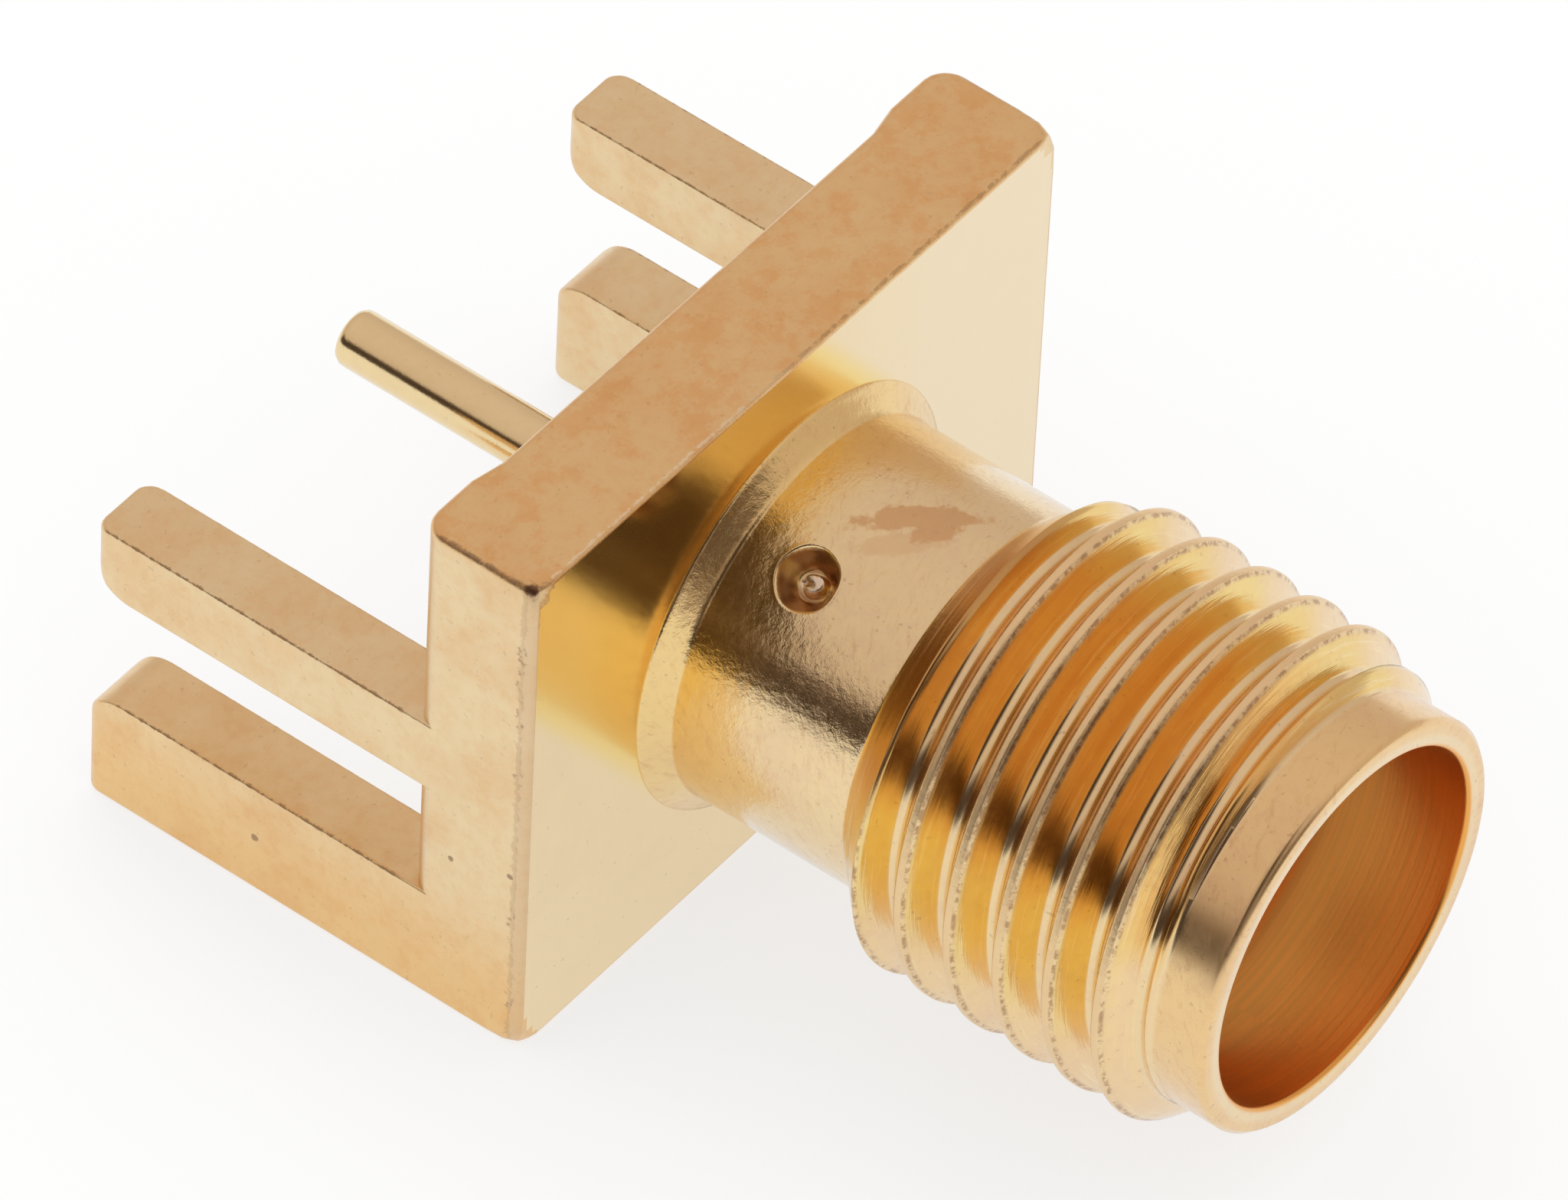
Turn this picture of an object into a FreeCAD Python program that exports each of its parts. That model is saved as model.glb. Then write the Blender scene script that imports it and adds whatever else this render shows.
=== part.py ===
import FreeCAD, Part
import math
import os
import Sketcher
from FreeCAD import Placement, Rotation, Vector

# Edge-mount coaxial socket for a circuit board, in millimetres.
# The barrel's axis is the Y axis and its mouth faces -Y; +Z is square to the board.
# The origin is on that axis, in the flange's rear face, which the board's edge meets.
# "Reach" is a distance from that rear face towards the mouth.

SIZES = [
    ("flange_width", "9.61", "flange across the board"),
    ("flange_height", "7.68", "flange square to the board"),
    ("flange_drop", "3.765", "axis down to the flange's lower side"),
    ("flange_thick", "1.65", "flange along the axis"),
    ("bar_round", "0.10", "radius along the corners of the flange and lower legs"),
    ("edge_break", "0.05", "chamfer round the flange's front face"),
    ("corner_round", "0.36", "radius of the flange's rear corners, seen from above"),
    ("rail_rise", "0.09", "step of the rear face over the legs"),
    ("rail_ramp", "0.45", "run of the slope up to that step"),
    ("board_thick", "1.60", "circuit board that the legs straddle"),
    ("slot_head", "0.07", "room between the board's top and the upper legs"),
    ("slot_play", "0.155", "slot height over the board's thickness"),
    ("leg_reach", "4.76", "upper legs behind the flange"),
    ("lower_reach", "4.85", "lower legs behind the flange"),
    ("leg_width", "0.95", "legs across the board"),
    ("leg_upper_thick", "1.04", "upper legs square to the board"),
    ("leg_root", "0.60", "depth that the legs' outlines start inside the flange"),
    ("lead_round", "0.55", "lead-in radius at the legs' tips, on the slot's side"),
    ("tip_round", "0.08", "radius at the legs' tips, on the outer side"),
    ("tip_corner", "0.12", "radius of the legs' tips, seen from above"),
    ("ring_width", "0.29", "root cone past the neck, along the radius"),
    ("ring_length", "0.24", "root cone along the axis"),
    ("neck_dia", "5.02", "plain neck behind the thread"),
    ("neck_length", "2.74", "flange's front face to the thread's rear chamfer"),
    ("thread_dia", "6.21", "thread over its crests"),
    ("thread_pitch", "0.7056", "thread pitch, 36 turns to the inch"),
    ("thread_depth", "0.41", "crest to root"),
    ("root_flat", "0.082", "flat at the thread's root, along the axis"),
    ("thread_start", "2.203", "flange's front face to the groove's centre where its sweep starts"),
    ("nose_dia", "5.37", "plain nose in front of the thread"),
    ("nose_length", "0.71", "nose from the thread's front chamfer to the mouth"),
    ("barrel_length", "8.01", "flange's front face to the mouth"),
    ("rim_break", "0.07", "chamfer round the rim"),
    ("mouth_dia", "4.65", "bore in front of the reference plane"),
    ("mouth_depth", "1.93", "mouth to the reference plane"),
    ("mouth_break", "0.04", "lead-in chamfer in the mouth"),
    ("stake_dia", "0.80", "stake mark over its rim"),
    ("stake_floor", "0.44", "stake mark across its floor"),
    ("stake_depth", "0.32", "stake mark into the neck"),
    ("stake_nub", "0.30", "nub in the middle of the stake mark"),
    ("stake_nub_rise", "0.12", "height of that nub"),
    ("stake_reach", "1.16", "flange's front face to the middle of the stake mark"),
    ("stake_angle", "121", "stake mark's angle about the axis, from +X towards +Z"),
    ("sleeve_dia", "4.10", "bore behind the reference plane"),
    ("sleeve_gap", "0.005", "room between the bore and the insulator"),
    ("sleeve_break", "0.08", "chamfer on the insulator's ends"),
    ("contact_dia", "1.27", "contact inside the insulator"),
    ("contact_gap", "0.005", "room between the insulator and the contact"),
    ("contact_recess", "0.10", "contact's tip behind the reference plane"),
    ("contact_break", "0.10", "chamfer round the contact's tip"),
    ("socket_dia", "0.94", "bore of the contact's socket"),
    ("socket_depth", "2.60", "depth of that bore"),
    ("socket_break", "0.06", "lead-in chamfer of that bore"),
    ("slit_width", "0.14", "slits of the socket"),
    ("slit_length", "1.90", "slits along the axis"),
    ("pin_dia", "0.74", "solder pin"),
    ("pin_reach", "4.83", "solder pin behind the flange"),
    ("pin_round", "0.10", "radius round the pin's end"),
    ("overrun", "0.05", "how far a cutting profile stands clear of the surface it cuts"),
]

THREAD_FLANK = "tan(30 deg)"

# Reaches and heights that several profiles share.
MOUTH = "(sizes.flange_thick + sizes.barrel_length)"
REFERENCE = f"({MOUTH} - sizes.mouth_depth)"
NOSE_START = f"({MOUTH} - sizes.nose_length)"
NECK_END = "(sizes.flange_thick + sizes.neck_length)"
SWEEP_START = "(sizes.flange_thick + sizes.thread_start)"
REAR_CHAMFER = "((sizes.thread_dia - sizes.neck_dia) / 2)"
FRONT_CHAMFER = "((sizes.thread_dia - sizes.nose_dia) / 2)"
CONTACT_TIP = f"({REFERENCE} - sizes.contact_recess)"
BOARD_TOP = "(-sizes.pin_dia / 2)"
SLOT_TOP = f"({BOARD_TOP} + sizes.slot_head)"
SLOT_FLOOR = f"({SLOT_TOP} - sizes.board_thick - sizes.slot_play)"
LEG_INNER = "(sizes.flange_width / 2 - sizes.leg_width)"

os.makedirs("parts", exist_ok=True)
doc = FreeCAD.newDocument("edge_mount_socket")
sheet = doc.addObject("Spreadsheet::Sheet", "sizes")
for row, (alias, number, meaning) in enumerate(SIZES, start=1):
    sheet.set(f"A{row}", meaning)
    sheet.set(f"B{row}", number)
    sheet.setAlias(f"B{row}", alias)
doc.recompute()


def value(expression):
    """The number that an expression over the sheet gives, in mm or degrees."""
    result = sheet.evalExpression(expression)
    return float(getattr(result, "Value", result))


def new_body(label):
    """An empty body with a label of its own, which names its file."""
    body = doc.addObject("PartDesign::Body", label)
    body.Label = label
    return body


def origin_item(body, role):
    """One of the body's own origin planes or axes."""
    return next(item for item in body.Origin.OriginFeatures if item.Role == role)


def new_sketch(body, name, role, turn=Rotation(), **offset):
    """A sketch on an origin plane, turned in it and moved by expressions for x, y or z."""
    sketch = body.newObject("Sketcher::SketchObject", name)
    sketch.AttachmentSupport = [(origin_item(body, role), "")]
    sketch.MapMode = "FlatFace"
    start = Vector(*[value(offset.get(axis, "0")) for axis in "xyz"])
    sketch.AttachmentOffset = Placement(start, turn)
    for axis, expression in offset.items():
        sketch.setExpression(f"AttachmentOffset.Base.{axis}", expression)
    return sketch


def axial_sketch(body, name):
    """A sketch whose x is a radius and whose y is a reach, for turned shapes."""
    return new_sketch(body, name, "XY_Plane", Rotation(Vector(0, 0, 1), 180))


def pin_point(sketch, geometry, end, corner):
    """Holds a point at a corner given by two expressions."""
    for kind, expression in zip(("DistanceX", "DistanceY"), corner):
        index = sketch.addConstraint(Sketcher.Constraint(kind, -1, 1, geometry, end, value(expression)))
        sketch.setExpression(f"Constraints[{index}]", expression)


def draw_outline(sketch, corners):
    """Draws a closed outline. A corner is (x, y), or (x, y, radius) where it is rounded."""
    places = [Vector(value(corner[0]), value(corner[1]), 0) for corner in corners]
    count = len(corners)
    trims = []
    for index, corner in enumerate(corners):
        inward = (places[index - 1] - places[index]).normalize()
        outward = (places[(index + 1) % count] - places[index]).normalize()
        if len(corner) == 2:
            trims.append((places[index], places[index], None))
            continue
        half = inward.getAngle(outward) / 2
        radius = value(corner[2])
        run = radius / math.tan(half)
        middle = places[index] + (inward + outward).normalize() * (radius / math.sin(half))
        trims.append((places[index] + inward * run, places[index] + outward * run, middle))
    lines = []
    for index in range(count):
        segment = Part.LineSegment(trims[index][1], trims[(index + 1) % count][0])
        lines.append(sketch.addGeometry(segment, False))
    for index, corner in enumerate(corners):
        before, after = lines[index - 1], lines[index]
        start, end, middle = trims[index]
        if middle is None:
            sketch.addConstraint(Sketcher.Constraint("Coincident", before, 2, after, 1))
            pin_point(sketch, after, 1, corner)
            continue
        round_corner(sketch, corner, before, after, start, end, middle, places[index])


def round_corner(sketch, corner, before, after, start, end, middle, place):
    """Draws the arc between two lines whose sharp corner is held by a construction point."""
    radius = (start - middle).Length
    first = math.atan2(start.y - middle.y, start.x - middle.x)
    last = math.atan2(end.y - middle.y, end.x - middle.x)
    turns_left = (start - middle).cross(end - middle).z > 0
    begin, finish = (first, last) if turns_left else (last, first)
    circle = Part.Circle(middle, Vector(0, 0, 1), radius)
    arc = sketch.addGeometry(Part.ArcOfCircle(circle, begin, finish), False)
    arc_start, arc_end = (1, 2) if turns_left else (2, 1)
    point = sketch.addGeometry(Part.Point(place), True)
    sketch.addConstraint(Sketcher.Constraint("Tangent", before, 2, arc, arc_start))
    sketch.addConstraint(Sketcher.Constraint("Tangent", arc, arc_end, after, 1))
    sketch.addConstraint(Sketcher.Constraint("PointOnObject", point, 1, before))
    sketch.addConstraint(Sketcher.Constraint("PointOnObject", point, 1, after))
    pin_point(sketch, point, 1, corner)
    index = sketch.addConstraint(Sketcher.Constraint("Radius", arc, radius))
    sketch.setExpression(f"Constraints[{index}]", corner[2])


def pad(body, name, sketch, length):
    """Raises an outline along its normal."""
    feature = body.newObject("PartDesign::Pad", name)
    feature.Profile = sketch
    feature.setExpression("Length", length)
    return feature


def turn_up(body, name, sketch, kind="PartDesign::Revolution", axis="V_Axis"):
    """Turns an outline once round one of the sketch's axes."""
    feature = body.newObject(kind, name)
    feature.Profile = sketch
    feature.ReferenceAxis = (sketch, [axis])
    feature.Angle = 360
    return feature


def recompute_checked(step):
    """Recomputes the document and stops where an object failed."""
    doc.recompute()
    for item in doc.Objects:
        if {"Invalid", "Error"} & set(item.State):
            raise RuntimeError(f"{step}: {item.Name} is {item.State}")


def volume_after(body, feature, step):
    """Makes a feature the body's tip and gives the volume."""
    body.Tip = feature
    recompute_checked(step)
    return body.Shape.Volume


def front_edges(shape):
    """Names of the edges round the flange's front face."""
    front = -value("sizes.flange_thick")
    near = 1e-4
    names = []
    for number, edge in enumerate(shape.Edges, start=1):
        box = edge.BoundBox
        if box.YLength < near and abs(box.YMin - front) < near:
            names.append(f"Edge{number}")
    return names


def draw_corner_cut(sketch, side, up, corner, radius_name):
    """Draws what rounding takes off a corner that points to the given side and up or down."""
    centre = (f"{corner[0]} - {side} * {radius_name}", f"{corner[1]} - {up} * {radius_name}")
    past = (f"{corner[0]} + {side} * sizes.overrun", f"{corner[1]} + {up} * sizes.overrun")
    corners = [(centre[0], past[1]), past, (past[0], centre[1])]
    middle = Vector(value(centre[0]), value(centre[1]), 0)
    radius = value(radius_name)
    path = [Vector(middle.x, middle.y + up * radius, 0)]
    path += [Vector(value(x), value(y), 0) for x, y in corners]
    path += [Vector(middle.x + side * radius, middle.y, 0)]
    lines = [sketch.addGeometry(Part.LineSegment(*ends), False) for ends in zip(path, path[1:])]
    begin, finish = sorted((math.atan2(up, 0), math.atan2(0, side)))
    if finish - begin > math.pi / 2 + 0.01:
        begin, finish = finish, begin + 2 * math.pi
    circle = Part.Circle(middle, Vector(0, 0, 1), radius)
    arc = sketch.addGeometry(Part.ArcOfCircle(circle, begin, finish), False)
    arc_first, arc_last = (1, 2) if side * up < 0 else (2, 1)
    sketch.addConstraint(Sketcher.Constraint("Coincident", arc, arc_first, lines[0], 1))
    sketch.addConstraint(Sketcher.Constraint("Coincident", arc, arc_last, lines[-1], 2))
    for before, after, corner in zip(lines, lines[1:], corners):
        sketch.addConstraint(Sketcher.Constraint("Coincident", before, 2, after, 1))
        pin_point(sketch, after, 1, corner)
    sketch.addConstraint(Sketcher.Constraint("Vertical", lines[0]))
    sketch.addConstraint(Sketcher.Constraint("Horizontal", lines[-1]))
    pin_point(sketch, arc, 3, centre)


def round_off(body, name, role, turn, corners, way="both", **offset):
    """Rounds corners of the body seen along an axis, all the way through or one way only."""
    sketch = new_sketch(body, f"{name}_outline", role, turn, **offset)
    for corner in corners:
        draw_corner_cut(sketch, *corner)
    before = body.Shape.Volume
    cut = body.newObject("PartDesign::Pocket", name)
    cut.Profile = sketch
    cut.Type = "ThroughAll"
    cut.Midplane = way == "both"
    cut.Reversed = way == "up"
    if volume_after(body, cut, name) >= before:
        raise RuntimeError(f"{name} cuts nothing")
    return cut


def flange_and_legs(body):
    """The rectangular flange with its four board legs."""
    plan = new_sketch(body, "flange_plan", "XY_Plane", Rotation(Vector(0, 0, 1), 180),
                      z="-sizes.flange_drop")
    half = "(sizes.flange_width / 2)"
    rail_foot = f"({LEG_INNER} - sizes.rail_ramp)"
    draw_outline(plan, [
        (f"-{half}", "sizes.flange_thick"),
        (f"-{half}", "-sizes.rail_rise", "sizes.corner_round"),
        (f"-{LEG_INNER}", "-sizes.rail_rise"),
        (f"-{rail_foot}", "0 * sizes.rail_rise"),
        (rail_foot, "0 * sizes.rail_rise"),
        (LEG_INNER, "-sizes.rail_rise"),
        (half, "-sizes.rail_rise", "sizes.corner_round"),
        (half, "sizes.flange_thick"),
    ])
    pad(body, "flange_block", plan, "sizes.flange_height")

    side = new_sketch(body, "leg_sides", "YZ_Plane", z=LEG_INNER)
    upper_top = f"({SLOT_TOP} + sizes.leg_upper_thick)"
    draw_outline(side, [
        ("-sizes.leg_root", SLOT_TOP),
        ("sizes.leg_reach", SLOT_TOP, "sizes.lead_round"),
        ("sizes.leg_reach", upper_top, "sizes.tip_round"),
        ("-sizes.leg_root", upper_top),
    ])
    draw_outline(side, [
        ("-sizes.leg_root", "-sizes.flange_drop"),
        ("sizes.lower_reach", "-sizes.flange_drop", "sizes.tip_round"),
        ("sizes.lower_reach", SLOT_FLOOR, "sizes.lead_round"),
        ("-sizes.leg_root", SLOT_FLOOR),
    ])
    legs = pad(body, "legs_right", side, "sizes.leg_width")
    right = volume_after(body, legs, "legs")
    mirrored = body.newObject("PartDesign::Mirrored", "legs_left")
    mirrored.Originals = [legs]
    mirrored.MirrorPlane = (origin_item(body, "YZ_Plane"), [""])
    if volume_after(body, mirrored, "mirrored legs") <= right:
        raise RuntimeError("the mirrored legs add nothing")

    top = "(sizes.flange_height - sizes.flange_drop)"
    long_corners = [(side, up, (f"{side} * {half}", height), "sizes.bar_round")
                    for side in (1, -1) for up, height in ((1, top), (-1, "-sizes.flange_drop"))]
    cut = round_off(body, "bar_corners", "XZ_Plane", Rotation(), long_corners)
    for name, way, reach in (("upper_tips", "up", "sizes.leg_reach"),
                             ("lower_tips", "down", "sizes.lower_reach")):
        tips = [(side * outward, -1, (f"{side} * {edge}", f"-{reach}"), "sizes.tip_corner")
                for side in (1, -1) for outward, edge in ((1, half), (-1, LEG_INNER))]
        turned = Rotation(Vector(0, 0, 1), 180)
        cut = round_off(body, name, "XY_Plane", turned, tips, way, z=f"({SLOT_TOP} + {SLOT_FLOOR}) / 2")

    broken = body.newObject("PartDesign::Chamfer", "front_edges")
    broken.Base = (cut, front_edges(cut.Shape))
    broken.setExpression("Size", "sizes.edge_break")
    body.Tip = broken
    recompute_checked("flange edges")


def barrel(body):
    """The turned barrel: root cone, neck, thread blank with its chamfers, and nose."""
    sketch = axial_sketch(body, "barrel_outline")
    inside = "(sizes.flange_thick / 2)"
    draw_outline(sketch, [
        ("0 * sizes.neck_dia", inside),
        ("sizes.neck_dia / 2 + sizes.ring_width", inside),
        ("sizes.neck_dia / 2 + sizes.ring_width", "sizes.flange_thick"),
        ("sizes.neck_dia / 2", "sizes.flange_thick + sizes.ring_length"),
        ("sizes.neck_dia / 2", NECK_END),
        ("sizes.thread_dia / 2", f"{NECK_END} + {REAR_CHAMFER}"),
        ("sizes.thread_dia / 2", f"{NOSE_START} - {FRONT_CHAMFER}"),
        ("sizes.nose_dia / 2", NOSE_START),
        ("sizes.nose_dia / 2", f"{MOUTH} - sizes.rim_break"),
        ("sizes.nose_dia / 2 - sizes.rim_break", MOUTH),
        ("0 * sizes.neck_dia", MOUTH),
    ])
    volume_after(body, turn_up(body, "barrel_blank", sketch), "barrel")


def thread(body):
    """The right-hand thread: a groove swept round the barrel, open at both chamfers."""
    sketch = axial_sketch(body, "thread_groove")
    root = "(sizes.thread_dia / 2 - sizes.thread_depth)"
    outside = "(sizes.thread_dia / 2 + sizes.overrun)"
    half_root = "(sizes.root_flat / 2)"
    half_open = f"({half_root} + ({outside} - {root}) * {THREAD_FLANK})"
    draw_outline(sketch, [
        (root, f"{SWEEP_START} - {half_root}"),
        (outside, f"{SWEEP_START} - {half_open}"),
        (outside, f"{SWEEP_START} + {half_open}"),
        (root, f"{SWEEP_START} + {half_root}"),
    ])
    before = body.Shape.Volume
    groove = body.newObject("PartDesign::SubtractiveHelix", "thread_cut")
    groove.Profile = sketch
    groove.ReferenceAxis = (sketch, ["V_Axis"])
    groove.Mode = "pitch-height-angle"
    groove.Angle = 0
    groove.LeftHanded = False
    groove.setExpression("Pitch", "sizes.thread_pitch")
    groove.setExpression("Height", f"{NOSE_START} + sizes.thread_pitch / 2 - {SWEEP_START}")
    if volume_after(body, groove, "thread") >= before:
        raise RuntimeError("the thread groove cuts nothing")


def bore(body):
    """The stepped bore, from the mouth to the flange's rear face."""
    sketch = axial_sketch(body, "bore_outline")
    draw_outline(sketch, [
        ("0 * sizes.mouth_dia", "-sizes.overrun"),
        ("sizes.sleeve_dia / 2", "-sizes.overrun"),
        ("sizes.sleeve_dia / 2", REFERENCE),
        ("sizes.mouth_dia / 2", REFERENCE),
        ("sizes.mouth_dia / 2", f"{MOUTH} - sizes.mouth_break"),
        ("sizes.mouth_dia / 2 + sizes.mouth_break", MOUTH),
        ("sizes.mouth_dia / 2 + sizes.mouth_break", f"{MOUTH} + sizes.overrun"),
        ("0 * sizes.mouth_dia", f"{MOUTH} + sizes.overrun"),
    ])
    before = body.Shape.Volume
    cut = turn_up(body, "bore_cut", sketch, "PartDesign::Groove")
    if volume_after(body, cut, "bore") >= before:
        raise RuntimeError("the bore cuts nothing")


def stake_mark(body):
    """The punched mark in the neck that locks the insulator: a cone round a low nub."""
    turn = Rotation(Vector(0, -1, 0), value("sizes.stake_angle"))
    sketch = new_sketch(body, "stake_outline", "XY_Plane", turn,
                        y="-sizes.flange_thick - sizes.stake_reach")
    sketch.setExpression("AttachmentOffset.Rotation.Angle", "sizes.stake_angle * 1 deg")
    neck = "(sizes.neck_dia / 2)"
    slope = "((sizes.stake_dia - sizes.stake_floor) / 2 / sizes.stake_depth)"
    floor = f"({neck} - sizes.stake_depth)"
    draw_outline(sketch, [
        (f"{neck} + sizes.overrun", "0 * sizes.stake_dia"),
        (f"{neck} + sizes.overrun", f"sizes.stake_dia / 2 + sizes.overrun * {slope}"),
        (floor, "sizes.stake_floor / 2"),
        (floor, "sizes.stake_nub / 2"),
        (f"{floor} + sizes.stake_nub_rise", "sizes.stake_nub / 4"),
        (f"{floor} + sizes.stake_nub_rise", "0 * sizes.stake_dia"),
    ])
    before = body.Shape.Volume
    cut = turn_up(body, "stake_cut", sketch, "PartDesign::Groove", "H_Axis")
    if volume_after(body, cut, "stake mark") >= before:
        raise RuntimeError("the stake mark cuts nothing")


def make_socket_body():
    """The one-piece outer conductor."""
    body = new_body("socket_body")
    flange_and_legs(body)
    barrel(body)
    thread(body)
    bore(body)
    stake_mark(body)
    return body


def make_insulator():
    """The plain sleeve between the outer conductor and the contact."""
    body = new_body("insulator")
    sketch = axial_sketch(body, "sleeve_outline")
    outer = "(sizes.sleeve_dia / 2 - sizes.sleeve_gap)"
    inner = "(sizes.contact_dia / 2 + sizes.contact_gap)"
    draw_outline(sketch, [
        (inner, "0 * sizes.sleeve_dia"),
        (f"{outer} - sizes.sleeve_break", "0 * sizes.sleeve_dia"),
        (outer, "sizes.sleeve_break"),
        (outer, f"{REFERENCE} - sizes.sleeve_break"),
        (f"{outer} - sizes.sleeve_break", REFERENCE),
        (inner, REFERENCE),
    ])
    volume_after(body, turn_up(body, "sleeve", sketch), "insulator")
    return body


def make_center_contact():
    """The turned contact: a slit socket at the mouth and the solder pin at the rear."""
    body = new_body("center_contact")
    sketch = axial_sketch(body, "contact_outline")
    socket_end = f"({CONTACT_TIP} - sizes.socket_depth)"
    draw_outline(sketch, [
        ("0 * sizes.pin_dia", "-sizes.pin_reach"),
        ("sizes.pin_dia / 2", "-sizes.pin_reach", "sizes.pin_round"),
        ("sizes.pin_dia / 2", "0 * sizes.pin_reach"),
        ("sizes.contact_dia / 2", "0 * sizes.pin_reach"),
        ("sizes.contact_dia / 2", f"{CONTACT_TIP} - sizes.contact_break"),
        ("sizes.contact_dia / 2 - sizes.contact_break", CONTACT_TIP),
        ("sizes.socket_dia / 2 + sizes.socket_break", CONTACT_TIP),
        ("sizes.socket_dia / 2", f"{CONTACT_TIP} - sizes.socket_break"),
        ("sizes.socket_dia / 2", socket_end),
        ("0 * sizes.pin_dia", f"{socket_end} - sizes.socket_dia / 2 * {THREAD_FLANK}"),
    ])
    turned = volume_after(body, turn_up(body, "contact_blank", sketch), "contact")

    slit = new_sketch(body, "slit_outline", "XZ_Plane", z=CONTACT_TIP)
    half_long = "(sizes.contact_dia / 2 + sizes.overrun)"
    half_wide = "(sizes.slit_width / 2)"
    draw_outline(slit, [
        (f"-{half_long}", f"-{half_wide}"),
        (half_long, f"-{half_wide}"),
        (half_long, half_wide),
        (f"-{half_long}", half_wide),
    ])
    cut = body.newObject("PartDesign::Pocket", "slit_cut")
    cut.Profile = slit
    cut.setExpression("Length", "sizes.slit_length")
    first = volume_after(body, cut, "slit")
    if first >= turned:
        raise RuntimeError("the slit cuts nothing")
    crossed = body.newObject("PartDesign::PolarPattern", "slits_crossed")
    crossed.Originals = [cut]
    crossed.Axis = (origin_item(body, "Y_Axis"), [""])
    crossed.Angle = 90
    crossed.Occurrences = 2
    if volume_after(body, crossed, "crossed slits") >= first:
        raise RuntimeError("the second slit cuts nothing")
    return body


pieces = [make_socket_body(), make_insulator(), make_center_contact()]
recompute_checked("whole socket")
for piece in pieces:
    if piece.Shape.isNull() or not piece.Shape.isValid() or len(piece.Shape.Solids) != 1:
        raise RuntimeError(f"{piece.Label} is not one valid solid")
for piece in pieces:
    piece.Shape.exportStep(f"parts/{piece.Label}.step")
    box = piece.Shape.BoundBox
    print(f"{piece.Label}: {piece.Shape.Volume:.3f} mm3, x {box.XMin:.2f} to {box.XMax:.2f}, "
          f"y {box.YMin:.2f} to {box.YMax:.2f}, z {box.ZMin:.2f} to {box.ZMax:.2f}")
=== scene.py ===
import bpy
import bmesh
import math
import numpy as np
from mathutils import Euler, Matrix, Vector


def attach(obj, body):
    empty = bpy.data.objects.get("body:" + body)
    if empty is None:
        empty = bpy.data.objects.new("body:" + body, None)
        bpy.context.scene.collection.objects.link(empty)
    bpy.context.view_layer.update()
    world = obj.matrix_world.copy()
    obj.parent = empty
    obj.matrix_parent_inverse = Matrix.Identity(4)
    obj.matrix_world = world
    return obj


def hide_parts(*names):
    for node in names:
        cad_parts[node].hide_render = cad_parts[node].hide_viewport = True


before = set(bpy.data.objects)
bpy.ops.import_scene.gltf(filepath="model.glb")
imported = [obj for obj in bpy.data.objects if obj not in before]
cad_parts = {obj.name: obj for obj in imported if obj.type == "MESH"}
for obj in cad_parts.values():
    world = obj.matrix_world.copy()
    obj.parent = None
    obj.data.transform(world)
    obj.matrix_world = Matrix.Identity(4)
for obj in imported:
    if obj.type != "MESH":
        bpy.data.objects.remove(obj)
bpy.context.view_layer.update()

MM = 0.001

# Sizes of the socket in millimetres. The barrel lies along Y with its mouth at -Y, and the flange's rear
# face, which meets the board, is at y = 0. "Reach" is a place along Y.
FLANGE_X, FLANGE_TOP, FLANGE_LOW, FLANGE_FRONT = 4.805, 3.915, -3.765, -1.62
RAIL, RAIL_X, RAMP_X = 0.09, 3.855, 3.405
CORNER_ROUND, BAR_ROUND, EDGE_BREAK = 0.36, 0.10, 0.075
CORNER_CUT, CORNER_CUT_ROUND = 0.13, 0.12

# The legs: lower side, upper side and tip of the upper and the lower pair.
LEG_BANDS = ((-0.30, 0.74, 4.76), (FLANGE_LOW, -2.055, 4.85))
LEG_BREAK, LEAD_ROUND, TIP_ROUND, TIP_CORNER = 0.035, 0.55, 0.08, 0.22
LEG_ROOT = 0.6
# The two rounds at a leg's tip together take this much off its length.
TIP_LOSS = 0.0102

RING_R, NECK_R, CREST_R, ROOT_R, NOSE_R = 2.80, 2.51, 3.105, 2.695, 2.685
RING_END, NECK_END, CREST_START = -1.89, -4.39, -4.985
NOSE_START, MOUTH = -8.95, -9.66
PITCH, GROOVE_Y, ROOT_FLAT = 0.7056, -3.853, 0.130
CREST_SOFT, ROOT_SOFT = 0.045, 0.035
FLANK_SLOPE = math.tan(math.radians(30))
BORE_R, SLEEVE_R, BORE_END = 2.325, 2.05, -7.73

STAKE_Y, STAKE_ANGLE = -2.81, 121.0
STAKE_R, STAKE_DEPTH, STAKE_WALL = 0.395, 0.30, 0.175
NUB_R, NUB_RISE = 0.165, 0.15

CONTACT_R, SOCKET_R, PIN_R, PIN_END = 0.635, 0.47, 0.37, 4.83

# Vertices round the barrel, the insulator and the contact.
COLUMNS, SLEEVE_COLUMNS, CONTACT_COLUMNS = 288, 128, 96

# The camera that matches the photograph: its lens, its place in millimetres and its turns in degrees.
CAMERA_LENS = 469.392
CAMERA_PLACE = (-130.249, -96.021, 171.254)
CAMERA_TURNS = (43.155, -2.0548, -51.8607)


# Mesh helpers
def mesh_object(name, bm):
    """Makes a smooth-shaded object of a bmesh whose points are in millimetres."""
    mesh = bpy.data.meshes.new(name)
    bmesh.ops.scale(bm, vec=(MM, MM, MM), verts=bm.verts)
    bm.to_mesh(mesh)
    bm.free()
    for face in mesh.polygons:
        face.use_smooth = True
    item = bpy.data.objects.new(name, mesh)
    bpy.context.scene.collection.objects.link(item)
    return item


def grid_faces(bm, rows):
    """Quads between closed rows of vertices, each row running the same way round."""
    for upper, lower in zip(rows, rows[1:]):
        for index in range(len(upper)):
            after = (index + 1) % len(upper)
            corners = (upper[index], upper[after], lower[after], lower[index])
            if len(set(corners)) == 4:
                bm.faces.new(corners)


def on_barrel(radius, reach, degrees):
    """A point at a radius, a y and an angle about the barrel's axis."""
    turn = math.radians(degrees)
    return (radius * math.cos(turn), reach, radius * math.sin(turn))


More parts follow.
